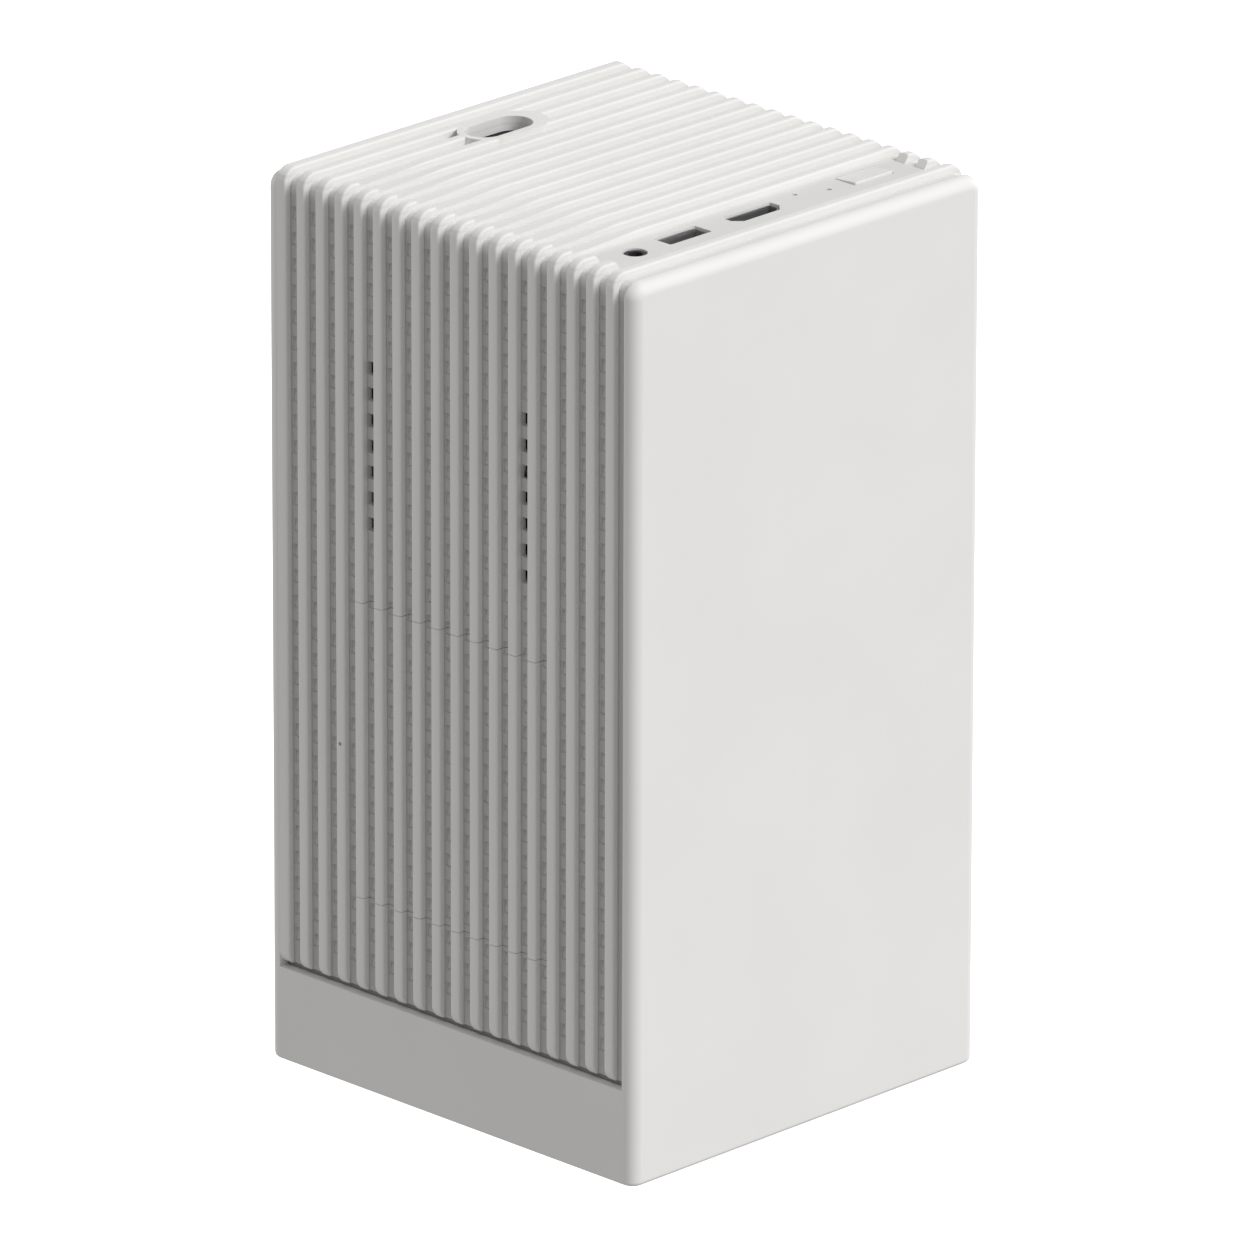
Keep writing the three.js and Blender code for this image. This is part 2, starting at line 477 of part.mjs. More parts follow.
function addAntennas() {
  const outside = POST.y + POST.size / 2 + GAP;
  for (const [name, x, side, z] of [
    ["antenna_front_left", -45, -1, 150], ["antenna_front_right", 45, -1, 150],
    ["antenna_rear_left", -45, 1, 120], ["antenna_rear_right", 45, 1, 120]]) {
    const [y0, y1] = side < 0 ? [-outside - 1, -outside] : [outside, outside + 1];
    add(name, "board", block(x - 7, x + 7, y0, y1, z - 32, z + 32));
  }
}

function addTopBoard() {
  add("io_board", "board", block(-50, 52, -53, -31, IO_BOARD_Z, IO_BOARD_Z + BOARD));
}

function addFixings() {
  corners(FOOT.x, FOOT.y).forEach(([x, y], i) => {
    add("foot_" + CORNER_NAMES[i], "rubber", joined([
      upright(FOOT.radius, x, y, 0.3, FOOT_PROUD + FOOT.recess - GAP, 24),
      upright(FOOT.radius - 0.5, x, y, 0, 0.4, 24)]));
  });
  corners(BASE_SCREW.x, BASE_SCREW.y).forEach(([x, y], i) => {
    add("base_screw_" + CORNER_NAMES[i], "steel", joined([
      upright(BASE_SCREW.head, x, y, FOOT_PROUD + 0.2, FOOT_PROUD + 1.6 - GAP, 12),
      upright(BASE_SCREW.shank, x, y, FOOT_PROUD + 1, DECK_Z + DECK, 10)]));
  });
}

add("outer_shell", "whitePlastic", outerShell());
addHoodAndHatch();
addBaffles();
addTopSockets();
addButtons();
addTopBoard();
addPowerSupply();
addChassis();
addMainBoard();
addFan();
addNetwork();
addStorage();
addAntennas();
addFixings();

export default router;
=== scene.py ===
"""A tower router with a smooth U-shaped shell, a ribbed and slotted hood, and its sockets."""
import json
import math

import bmesh
import bpy
from mathutils import Matrix, Vector


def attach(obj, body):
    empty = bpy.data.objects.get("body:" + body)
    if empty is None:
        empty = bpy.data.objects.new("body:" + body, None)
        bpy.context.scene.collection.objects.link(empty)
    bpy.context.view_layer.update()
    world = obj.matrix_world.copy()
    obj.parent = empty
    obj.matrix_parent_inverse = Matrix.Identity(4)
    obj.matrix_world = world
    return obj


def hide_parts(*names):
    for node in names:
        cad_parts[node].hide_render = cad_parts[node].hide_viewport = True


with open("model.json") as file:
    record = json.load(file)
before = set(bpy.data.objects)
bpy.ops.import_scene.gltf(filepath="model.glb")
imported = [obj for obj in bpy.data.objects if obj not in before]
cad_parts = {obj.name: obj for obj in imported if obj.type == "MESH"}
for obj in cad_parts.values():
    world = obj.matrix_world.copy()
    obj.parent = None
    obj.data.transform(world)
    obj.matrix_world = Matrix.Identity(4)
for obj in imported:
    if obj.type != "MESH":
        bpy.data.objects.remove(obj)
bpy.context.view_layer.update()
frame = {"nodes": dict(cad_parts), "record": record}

MM = 0.001

# ------------------------------------------------------------------ sizes, in millimetres
HALF_WIDTH = 60
HALF_DEPTH = 62.6
BASE = 0.8
COVER_TOP = 230.4
RIB_TOP = 231.8
BAND_TOP = 25.35
HOOD_BOTTOM = 26.1
PLATE_INSIDE = 58.9
HOOD_END = 58.6
FLOOR_TOP = 3.4
POCKET_HALF = 57.5
OPEN_TOP = 233

RIBS = 18
RIB_PITCH = 6.548
RIB_WIDTH = 2.9
RIB_DEPTH = 2.0
FIRST_RIB = 58.6
GROOVE = RIB_PITCH - RIB_WIDTH
STRIP_Z = RIB_TOP - RIB_DEPTH
SKIN_X = HALF_WIDTH - RIB_DEPTH
UNDER_SKIN = 228.0
INSIDE_X = 56.2
REAR_LAND = (57.6, 58.86)

SLOT_ROWS = 29
SLOT_PITCH = 6.65
SLOT_LOW = 32.8
SLOT_TALL = 3.45
SLOT_WIDE = 3.5
SLOT_SHALLOW = 0.7
SLOT_DEEP = 1.6
SLOT_FACE = -58.3
OPEN_COLUMNS = (4, 12)
OPEN_ROWS = 7
OPEN_LOW = 145.85
OPEN_HIGH = 190.6
OPEN_X = (-58.2, -56)
RELIEF_X = (-56.65, -56.0)
RELIEF_HALF = 4.4
RELIEF_DROP = 0.3

HATCH_X = (-62, -40)
HATCH_Y = (-31.6, 33.4)
HATCH_Z = (50.8, 127.4)
SEAM = 0.15
PEG_X = (-51.5, -56.7)
PEG_RADIUS = 1.2
PEG_INSET = 3
RELEASE_X = (-62, -57)
RELEASE_Z = 89.1
RELEASE_RADIUS = 0.5
RELEASE_RIB = 3

WELL = (0, 42.8)
WELL_REACH = 4.9
WELL_RADIUS = 4.9
WELL_DEPTH = 10
PAD_X = 1.5
PAD_REACH = 6
PAD_RADIUS = 7
JACK = (-40, -43.1)
JACK_OPENING = 3.05
USB = (-22.9, -42.2)
USB_OPENING = (14.1, 5.8)
HDMI = (1.1, -42.5)
HDMI_OPENING = (16.6, 5.4)
PINHOLE = (17.7, -40)
LIGHT = (26.4, -43.1)
TINY_HOLE = 0.7
BUTTON_X = (33.3, 46.4)
BUTTON_Y = (-45.3, -38.4)
BUTTON_GAP = 0.25
FLANGE_REACH = 1.2
STEM_BOTTOM = 217.4

STRIP_NEAR = -51.2
STRIP_FAR = 53.2
STRIP_Y = (-52.4, -36.1)
NEAR_SLOPE = -2
FAR_SLOPE = 2.3
SCOOP_X = (-54, -29)
SCOOP_DEPTH = 0.9
SCOOP_RIBS = (14, 3)
LIP_X = (55.4, 57.2)
LIP_Z = (21, 28)
INLET_TOP = 227.7
SOCKET_BASE = 212.9
SOCKET_TOP = STRIP_Z - 0.35

NETWORK_X = 31
NETWORK_Z = (61.7, 76.3)
ETHERNET_X = 30
ETHERNET_Y = (45, 62.2)
ETHERNET_Z = (62, 76)
PORTS = (-22.5, -7.5, 7.5, 22.5)
PORT_PITCH = 15
PORT_HALF = 5.9
LATCH_HALF = 3
LAMP_OFFSET = 4.6
LAMP_HALF = 1.1
LAMP_Z = (ETHERNET_Z[0] + 10.4, ETHERNET_Z[0] + 12.2)
PIN_Z = (ETHERNET_Z[0] + 2, ETHERNET_Z[0] + 3.2)

FEET = [(x, y) for y in (-49, 49) for x in (-47, 47)]
FOOT_RADIUS = 6
FOOT_SEAT = (6.3, 2.0)
FOOT_RING = (4.4, 3.6)
SCREWS = [(x, y) for y in (-36, 36) for x in (-41, 41)]
BOSS = (4.5, 28.6)
SCREW_HOLE = (1.8, 40)
HEAD_SEAT = (3.3, 2.4)
CORNERS = ("front_left", "front_right", "rear_left", "rear_right")
VENTS = 9
VENT_PITCH = 6
FIRST_VENT = -24
VENT_SIZE = (56, 2.6)

# A cutter runs this far past the face it opens, and a picked edge may lie this far outside its limit
OVER = 1
NEAR = 0.1

# Roundings: radius, then steps
TOP_BEND = (4, 8)
UPRIGHT_BEND = (3.2, 6)
BASE_BEND = (1.2, 3)
FRONT_RIM = (0.8, 4)
REAR_RIM = (0.15, 2)
BAND_EDGE = (0.4, 3)
RIB_FOOT = (3.4, 7)
RIB_EDGE = (0.65, 4)
SKIN_BEND = (2.4, 6)
SKIN_FOOT = (1.6, 4)
SLOT_CORNER = (0.5, 3)
SMOOTH_ANGLE = 32


# ------------------------------------------------------------------ modelling moves
def deselect():
    if bpy.context.mode != "OBJECT":
        bpy.ops.object.mode_set(mode="OBJECT")
    bpy.ops.object.select_all(action="DESELECT")


def only(piece):
    deselect()
    piece.select_set(True)
    bpy.context.view_layer.objects.active = piece


def settle(piece, name):
    piece.name = name
    piece.data.name = name
    only(piece)
    bpy.ops.object.transform_apply(location=True, rotation=True, scale=True)
    return piece


def block(name, x, y, z):
    deselect()
    middle = [(a + b) / 2 * MM for a, b in (x, y, z)]
    size = [(b - a) * MM for a, b in (x, y, z)]
    bpy.ops.mesh.primitive_cube_add(size=1, location=middle, scale=size)
    return settle(bpy.context.active_object, name)


def across(middle, width):
    return middle - width / 2, middle + width / 2


def slab(name, centre, long, wide, z):
    return block(name, across(centre[0], long), across(centre[1], wide), z)


def upright(name, centre, radius, z, sides=32):
    deselect()
    place = (centre[0] * MM, centre[1] * MM, (z[0] + z[1]) / 2 * MM)
    bpy.ops.mesh.primitive_cylinder_add(
        vertices=sides, radius=radius * MM, depth=(z[1] - z[0]) * MM, location=place)
    return settle(bpy.context.active_object, name)


def crossbar(name, y, z, radius, x, sides=24):
    deselect()
    place = ((x[0] + x[1]) / 2 * MM, y * MM, z * MM)
    turn = (0, math.radians(90), 0)
    bpy.ops.mesh.primitive_cylinder_add(
        vertices=sides, radius=radius * MM, depth=(x[1] - x[0]) * MM, location=place, rotation=turn)
    return settle(bpy.context.active_object, name)


def pick_edges(piece, wanted):
    only(piece)
    bpy.ops.object.mode_set(mode="EDIT")
    bpy.ops.mesh.select_mode(type="EDGE")
    bpy.ops.mesh.select_all(action="DESELECT")
    mesh = bmesh.from_edit_mesh(piece.data)
    for edge in mesh.edges:
        a, b = (v.co / MM for v in edge.verts)
        if wanted(a, b):
            edge.select_set(True)
    bmesh.update_edit_mesh(piece.data)


def round_off(piece, wanted, radius, steps=4):
    pick_edges(piece, wanted)
    bpy.ops.mesh.bevel(offset=radius * MM, segments=steps, affect="EDGES", clamp_overlap=True)
    bpy.ops.object.mode_set(mode="OBJECT")
    return piece


def shift_edges(piece, wanted, move):
    pick_edges(piece, wanted)
    bpy.ops.transform.translate(value=[m * MM for m in move])
    bpy.ops.object.mode_set(mode="OBJECT")
    return piece


def same(a, b, gap=0.01):
    return abs(a - b) < gap


def along(axis):
    others = [i for i in range(3) if i != axis]
    return lambda a, b: all(same(a[i], b[i]) for i in others)


def at(axis, value):
    return lambda a, b: same(a[axis], value) and same(b[axis], value)


# Edges that run along an axis at one height
def running(axis, height):
    return lambda a, b: along(axis)(a, b) and at(2, height)(a, b)


def combine(piece, tool, how):
    only(piece)
    bpy.ops.object.modifier_add(type="BOOLEAN")
    step = piece.modifiers[-1]
    step.operation = how
    step.solver = "MANIFOLD"
    step.object = tool
    bpy.ops.object.modifier_apply(modifier=step.name)
    bpy.data.objects.remove(tool)
    return piece


def cut(piece, *tools):
    for tool in tools:
        combine(piece, tool, "DIFFERENCE")
    return piece


def weld(piece, *tools):
    for tool in tools:
        combine(piece, tool, "UNION")
    return piece


def gather(name, pieces):
    only(pieces[0])
    for piece in pieces:
        piece.select_set(True)
    bpy.ops.object.join()
    pieces[0].name = name
    return pieces[0]


def repeat(piece, count, step):
    only(piece)
    bpy.ops.object.modifier_add(type="ARRAY")
    row = piece.modifiers[-1]
    row.count = count
    row.use_relative_offset = False
    row.use_constant_offset = True
    row.constant_offset_displace = [s * MM for s in step]
    bpy.ops.object.modifier_apply(modifier=row.name)
    return piece


def twin(piece, name):
    only(piece)
    bpy.ops.object.duplicate()
    return settle(bpy.context.active_object, name)


# A copy on the other side of the middle plane, with its faces turned back outwards
def mirrored(piece):
    copy = twin(piece, piece.name + "_far")
    bpy.ops.transform.mirror(orient_type="GLOBAL", constraint_axis=(True, False, False),
                             center_override=(0, 0, 0))
    settle(copy, copy.name)
    bpy.ops.object.mode_set(mode="EDIT")
    bpy.ops.mesh.select_all(action="SELECT")
    bpy.ops.mesh.normals_make_consistent(inside=False)
    bpy.ops.object.mode_set(mode="OBJECT")
    return copy


def finish_surface(piece):
    only(piece)
    bpy.ops.object.shade_smooth_by_angle(angle=math.radians(SMOOTH_ANGLE))
    bpy.ops.object.modifier_add(type="WEIGHTED_NORMAL")
    weighted = piece.modifiers[-1]
    weighted.keep_sharp = True
    bpy.ops.object.modifier_apply(modifier=weighted.name)


def stadium(name, centre, reach, radius, z):
    bar = slab(name, centre, 2 * (reach + radius), 2 * radius, z)
    return round_off(bar, along(2), radius - 0.002, 12)


# ------------------------------------------------------------------ materials
# Strengths of the painted shade and painted shadow on the hood: groove floors, slot pockets, top groove
# floors, foot line
PAINTED_FLOOR_SHADE = 0.66
PAINTED_POCKET_SHADE = 0.88
PAINTED_SEAM_SHADOW = 0.4
PAINTED_SEAM_SHADOW_FADE = 0.6
PAINTED_TOP_FLOOR_SHADE = 0.92
PAINTED_SIDE_SHADE_FADE = (225, 229)
GROOVE_SPAN = (56, 60)
GRAIN = 0.03
GRAIN_SCALE = 1500
SHELL_LIGHT, SHELL_DARK = (0.80, 0.792, 0.776), (0.785, 0.777, 0.761)


def start_material(name):
    made = bpy.data.materials.new(name)
    made.use_nodes = True
    tree = made.node_tree
    shader = tree.nodes["Principled BSDF"]
    place = tree.nodes.new("ShaderNodeTexCoord")
    return made, tree, shader, place.outputs["Object"]


def noise(tree, place, scale, detail=3.0):
    node = tree.nodes.new("ShaderNodeTexNoise")
    node.inputs["Scale"].default_value = scale
    node.inputs["Detail"].default_value = detail
    node.inputs["Roughness"].default_value = 0.55
    tree.links.new(place, node.inputs["Vector"])
    return node.outputs["Fac"]


def grey(tone):
    return tone, tone, tone


# A colour for each place along an amount; the stops are in rising order
def ramp(tree, amount, stops):
    node = tree.nodes.new("ShaderNodeValToRGB")
    elements = node.color_ramp.elements
    for index, (position, colour) in enumerate((stops[0], stops[-1])):
        elements[index].position = position
        elements[index].color = (*colour, 1)
    for position, colour in stops[1:-1]:
        elements.new(position).color = (*colour, 1)
    tree.links.new(amount, node.inputs["Fac"])
    return node.outputs["Color"]


def two_tone(tree, amount, first, second, low=0.35, high=0.65):
    return ramp(tree, amount, ((low, first), (high, second)))


def rescaled(tree, amount, start, end, low=0, high=1):
    node = tree.nodes.new("ShaderNodeMapRange")
    node.inputs["From Min"].default_value = start
    node.inputs["From Max"].default_value = end
    node.inputs["To Min"].default_value = low
    node.inputs["To Max"].default_value = high
    tree.links.new(amount, node.inputs["Value"])
    return node.outputs["Result"]


def spread(tree, amount, low, high):
    return rescaled(tree, amount, 0.3, 0.7, low, high)


def bumps(tree, shader, height, depth, strength, below=None):
    node = tree.nodes.new("ShaderNodeBump")
    node.inputs["Distance"].default_value = depth * MM
    node.inputs["Strength"].default_value = strength
    tree.links.new(height, node.inputs["Height"])
    if below is not None:
        tree.links.new(below, node.inputs["Normal"])
    tree.links.new(node.outputs["Normal"], shader.inputs["Normal"])
    return node.outputs["Normal"]


def stretched(tree, place, scale):
    node = tree.nodes.new("ShaderNodeMapping")
    node.inputs["Scale"].default_value = scale
    tree.links.new(place, node.inputs["Vector"])
    return node.outputs["Vector"]


# Painted shade: darker groove floors on the two ribbed sides with a paler painted shade inside the slots, a
# little painted shade in the grooves on the top, and a painted shadow line where the hood meets the foot
# band
def groove_shade(tree, place, colour):
    parts = tree.nodes.new("ShaderNodeSeparateXYZ")
    tree.links.new(place, parts.inputs["Vector"])
    height = parts.outputs["Z"]
    outwards = tree.nodes.new("ShaderNodeMath")
    outwards.operation = "ABSOLUTE"
    tree.links.new(parts.outputs["X"], outwards.inputs[0])
    inner, outer = (x * MM for x in GROOVE_SPAN)
    depth = rescaled(tree, outwards.outputs["Value"], inner, outer)
    # Painted shade: the side groove floors are darkened, and the slot pockets are darkened less
    painted_floor_shade = ramp(tree, depth, ((0.46, grey(PAINTED_POCKET_SHADE)), (0.49, grey(PAINTED_FLOOR_SHADE)),
                                (0.53, grey(PAINTED_FLOOR_SHADE)), (0.58, grey(1))))
    # The painted shade on the sides fades out towards the top corners
    below_top = rescaled(tree, height, PAINTED_SIDE_SHADE_FADE[0] * MM, PAINTED_SIDE_SHADE_FADE[1] * MM, 1, 0)
    sides = multiplied(tree, below_top, colour, painted_floor_shade)
    # Painted shade on the floors of the top grooves and the socket strip
    roof = rescaled(tree, height, (STRIP_Z - 1) * MM, (STRIP_Z + 1) * MM)
    painted_top_floor_shade = ramp(tree, roof, ((0.3, grey(1)), (0.42, grey(PAINTED_TOP_FLOOR_SHADE)),
                             (0.58, grey(PAINTED_TOP_FLOOR_SHADE)), (0.75, grey(1))))
    sides = multiplied(tree, None, sides, painted_top_floor_shade)
    # Painted shadow line where the hood meets the foot band
    painted_seam_shadow = rescaled(tree, height, HOOD_BOTTOM * MM, (HOOD_BOTTOM + PAINTED_SEAM_SHADOW_FADE) * MM, PAINTED_SEAM_SHADOW, 1)
    return multiplied(tree, None, sides, painted_seam_shadow)


def multiplied(tree, amount, first, second):
    blend = tree.nodes.new("ShaderNodeMix")
    blend.data_type = "RGBA"
    blend.blend_type = "MULTIPLY"
    blend.inputs["Factor"].default_value = 1
    if amount is not None:
        tree.links.new(amount, blend.inputs["Factor"])
    tree.links.new(first, blend.inputs["A"])
    tree.links.new(second, blend.inputs["B"])
    return blend.outputs["Result"]


def moulded(name, light, dark, rough, with_painted_shade=False):
    made, tree, shader, place = start_material(name)
    cloud = noise(tree, place, 22, 2.0)
    speck = noise(tree, place, GRAIN_SCALE, 2.0)
    colour = two_tone(tree, cloud, dark, light)
    if with_painted_shade:
        # Painted shade and a painted shadow line multiplied into the base colour
        colour = groove_shade(tree, place, colour)
    tree.links.new(colour, shader.inputs["Base Color"])
    tree.links.new(spread(tree, speck, rough - 0.06, rough + 0.06), shader.inputs["Roughness"])
    wave = bumps(tree, shader, noise(tree, place, 260, 3.0), GRAIN * 2, 0.08)
    bumps(tree, shader, speck, GRAIN, 0.5, wave)
    shader.inputs["Specular IOR Level"].default_value = 0.35
    return made


def metal(name, light, dark, rough, lines=(40, 900, 900)):
    made, tree, shader, place = start_material(name)
    grain = noise(tree, stretched(tree, place, lines), 2.0, 4.0)
    tree.links.new(two_tone(tree, grain, dark, light), shader.inputs["Base Color"])
    tree.links.new(spread(tree, grain, rough - 0.08, rough + 0.1), shader.inputs["Roughness"])
    bumps(tree, shader, grain, 0.01, 0.3)
    shader.inputs["Metallic"].default_value = 1.0
    return made


def zinc_sheet(name):
    made, tree, shader, place = start_material(name)
    flakes = tree.nodes.new("ShaderNodeTexVoronoi")
    flakes.inputs["Scale"].default_value = 160
    tree.links.new(place, flakes.inputs["Vector"])
    tone = two_tone(tree, flakes.outputs["Distance"], (0.5, 0.51, 0.53), (0.66, 0.67, 0.69), 0.1, 0.7)
    tree.links.new(tone, shader.inputs["Base Color"])
    haze = noise(tree, place, 400, 3.0)
    tree.links.new(spread(tree, haze, 0.32, 0.5), shader.inputs["Roughness"])
    bumps(tree, shader, haze, 0.01, 0.3)
    shader.inputs["Metallic"].default_value = 1.0
    return made


def solder_mask(name):
    made, tree, shader, place = start_material(name)
    tracks = tree.nodes.new("ShaderNodeTexBrick")
    tracks.inputs["Scale"].default_value = 120
    tracks.inputs["Mortar Size"].default_value = 0.03
    tracks.inputs["Color1"].default_value = (0.012, 0.09, 0.045, 1)
    tracks.inputs["Color2"].default_value = (0.016, 0.12, 0.06, 1)
    tracks.inputs["Mortar"].default_value = (0.03, 0.2, 0.1, 1)
    tree.links.new(place, tracks.inputs["Vector"])
    tree.links.new(tracks.outputs["Color"], shader.inputs["Base Color"])
    weave = noise(tree, place, 900, 2.0)
    tree.links.new(spread(tree, weave, 0.3, 0.45), shader.inputs["Roughness"])
    bumps(tree, shader, tracks.outputs["Fac"], 0.04, 0.4)
    return made


def soft_rubber(name):
    made, tree, shader, place = start_material(name)
    dust = noise(tree, place, 300, 4.0)
    tone = two_tone(tree, dust, (0.035, 0.035, 0.036), (0.07, 0.07, 0.072))
    tree.links.new(tone, shader.inputs["Base Color"])
    tree.links.new(spread(tree, dust, 0.78, 0.92), shader.inputs["Roughness"])
    bumps(tree, shader, noise(tree, place, 1800, 2.0), 0.03, 0.5)
    return made


def frosted(name):
    made, tree, shader, place = start_material(name)
    haze = noise(tree, place, 1200, 2.0)
    tree.links.new(two_tone(tree, haze, (0.5, 0.52, 0.53), (0.66, 0.68, 0.69)), shader.inputs["Base Color"])
    tree.links.new(spread(tree, haze, 0.18, 0.3), shader.inputs["Roughness"])
    shader.inputs["Transmission Weight"].default_value = 0.35
    return made


def make_materials():
    return {
        "shell_plastic": moulded("shell plastic", SHELL_LIGHT, SHELL_DARK, 0.58),
        # The hood's material carries the painted groove shade and the painted shadow line at its foot
        "hood_plastic": moulded("hood plastic with painted shade", SHELL_LIGHT, SHELL_DARK, 0.6, with_painted_shade=True),
        "button_plastic": moulded("button plastic", (0.81, 0.802, 0.786), (0.795, 0.787, 0.771), 0.55),
        "baffle_plastic": moulded("baffle plastic", (0.55, 0.545, 0.535), (0.5, 0.495, 0.485), 0.7),
        "black_plastic": moulded("black plastic", (0.036, 0.036, 0.038), (0.026, 0.026, 0.027), 0.48),
        "grey_plastic": moulded("grey plastic", (0.27, 0.275, 0.28), (0.23, 0.235, 0.24), 0.55),
        "white_plastic": moulded("white nylon", (0.76, 0.75, 0.73), (0.7, 0.69, 0.67), 0.5),
        "foot_rubber": soft_rubber("foot rubber"),
        "circuit_board": solder_mask("solder mask"),
        "sheet_steel": zinc_sheet("zinc sheet"),
        "socket_steel": metal("socket nickel", (0.52, 0.52, 0.53), (0.4, 0.4, 0.41), 0.45),
        "cast_aluminium": metal("cast aluminium", (0.78, 0.79, 0.8), (0.66, 0.67, 0.69), 0.42,
                                (300, 300, 60)),
        "contact_brass": metal("contact brass", (0.78, 0.6, 0.3), (0.62, 0.46, 0.2), 0.3),
        "light_pipe": frosted("light pipe"),
    }


MATERIALS = make_materials()


def complete(piece, slot, body, *nodes):
    finish_surface(piece)
    piece.data.materials.clear()
    piece.data.materials.append(MATERIALS[slot])
    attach(piece, body)
    if nodes:
        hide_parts(*nodes)


# ------------------------------------------------------------------ the shell
def inner_rim(side):
    def chosen(a, b):
        level = same(a.y, side * PLATE_INSIDE) and same(a.y, b.y)
        outline = [abs(p.x) > HALF_WIDTH - TOP_BEND[0] - NEAR and p.z > BAND_TOP - NEAR
                   or p.z > COVER_TOP - NEAR for p in (a, b)]
        on_band = at(2, BAND_TOP)(a, b)
        in_pocket = abs(a.x) < SKIN_X and abs(b.x) < SKIN_X and a.z < COVER_TOP / 2
        return level and all(outline) and not on_band and not in_pocket
    return chosen


def network_edge(a, b):
    return at(1, HALF_DEPTH)(a, b) and all(
        abs(p.x) < NETWORK_X + NEAR and NETWORK_Z[0] - NEAR < p.z < NETWORK_Z[1] + NEAR for p in (a, b))


def make_shell():
    shell = block("tower_shell", (-HALF_WIDTH, HALF_WIDTH), (-HALF_DEPTH, HALF_DEPTH), (BASE, COVER_TOP))
    round_off(shell, running(1, COVER_TOP), *TOP_BEND)
    round_off(shell, lambda a, b: same(abs(a.y), HALF_DEPTH) and same(a.y, b.y) and not at(2, BASE)(a, b),
              *UPRIGHT_BEND)
    round_off(shell, at(2, BASE), *BASE_BEND)
    between = (-PLATE_INSIDE, PLATE_INSIDE)
    cut(shell,
        block("open_sides", (-HALF_WIDTH - OVER, HALF_WIDTH + OVER), between, (BAND_TOP, OPEN_TOP)),
        block("base_pocket", (-POCKET_HALF, POCKET_HALF), between, (FLOOR_TOP, BAND_TOP + OVER)))
    round_off(shell, inner_rim(-1), *FRONT_RIM)
    round_off(shell, inner_rim(1), *REAR_RIM)
    round_off(shell, lambda a, b: at(2, BAND_TOP)(a, b) and same(abs(a.x), HALF_WIDTH) and same(a.x, b.x),
              *BAND_EDGE)
    for centre in SCREWS:
        weld(shell, upright("boss", centre, BOSS[0], (FLOOR_TOP - OVER, BOSS[1])))
    for centre in FEET:
        cut(shell, upright("foot_seat", centre, FOOT_SEAT[0], (-OVER, FOOT_SEAT[1]), 48))
    for centre in SCREWS:
        cut(shell, upright("screw_hole", centre, SCREW_HOLE[0], (-OVER, SCREW_HOLE[1]), 20),
            upright("head_seat", centre, HEAD_SEAT[0], (-OVER, HEAD_SEAT[1])))
    vent = slab("vent", (0, FIRST_VENT), *VENT_SIZE, (-OVER, FLOOR_TOP + OVER))
    round_off(vent, along(2), 1.28, 5)
    cut(shell, repeat(vent, VENTS, (0, VENT_PITCH, 0)))
    sockets = block("network_opening", (-NETWORK_X, NETWORK_X), (55, 64), NETWORK_Z)
    round_off(sockets, along(1), 0.8, 3)
    cut(shell, sockets)
    round_off(shell, network_edge, 0.3, 2)
    complete(shell, "shell_plastic", "tower", "outer_shell")


# ------------------------------------------------------------------ the hood and its hatch
def rib_y(index):
    return FIRST_RIB - index * RIB_PITCH


def groove_y(index):
    return rib_y(index) - RIB_WIDTH - GROOVE / 2


def rounded_bar(name, y):
    bar = block(name, (-HALF_WIDTH, HALF_WIDTH), y, (HOOD_BOTTOM, RIB_TOP))
    round_off(bar, running(1, RIB_TOP), *TOP_BEND)
    return round_off(bar, running(1, HOOD_BOTTOM), *RIB_FOOT)


def make_ribs():
    ribs = rounded_bar("ribs", (FIRST_RIB - RIB_WIDTH, FIRST_RIB))
    round_off(ribs, lambda a, b: same(a.y, b.y), *RIB_EDGE)
    repeat(ribs, RIBS, (0, -RIB_PITCH, 0))
    return weld(ribs, rounded_bar("rear_land", REAR_LAND))


def make_slots():
    back = SLOT_SHALLOW - SKIN_X
    top = SLOT_LOW + SLOT_TALL
    slot = block("slots", (SLOT_FACE, back), across(groove_y(0), SLOT_WIDE), (SLOT_LOW, top))
    shift_edges(slot, lambda a, b: at(0, back)(a, b) and at(2, top)(a, b), (SLOT_DEEP - SLOT_SHALLOW, 0, 0))
    round_off(slot, along(0), *SLOT_CORNER)
    repeat(slot, SLOT_ROWS, (0, 0, SLOT_PITCH))
    repeat(slot, RIBS - 1, (0, -RIB_PITCH, 0))
    return gather("slots", [slot, mirrored(slot)])


# Two columns of slots go right through, with the skin thinned behind them
def make_open_slots():
    y = groove_y(OPEN_COLUMNS[0])
    opening = block("open_slots", OPEN_X, across(y, SLOT_WIDE), (OPEN_LOW, OPEN_LOW + SLOT_TALL))
    round_off(opening, along(0), *SLOT_CORNER)
    repeat(opening, OPEN_ROWS, (0, 0, SLOT_PITCH))
    relief = block("reliefs", RELIEF_X, (y - RELIEF_HALF, y + RELIEF_HALF),
                   (OPEN_LOW - RELIEF_DROP, OPEN_HIGH))
    cutters = []
    for tool in (opening, relief):
        repeat(tool, 2, (0, (OPEN_COLUMNS[0] - OPEN_COLUMNS[1]) * RIB_PITCH, 0))
        cutters += [tool, mirrored(tool)]
    return cutters


def make_strip_cutter():
    top = RIB_TOP + OVER
    strip = block("strip", (STRIP_NEAR, STRIP_FAR), STRIP_Y, (STRIP_Z, top))
    shift_edges(strip, lambda a, b: at(2, top)(a, b) and at(0, STRIP_NEAR)(a, b), (NEAR_SLOPE, 0, 0))
    return shift_edges(strip, lambda a, b: at(2, top)(a, b) and at(0, STRIP_FAR)(a, b), (FAR_SLOPE, 0, 0))


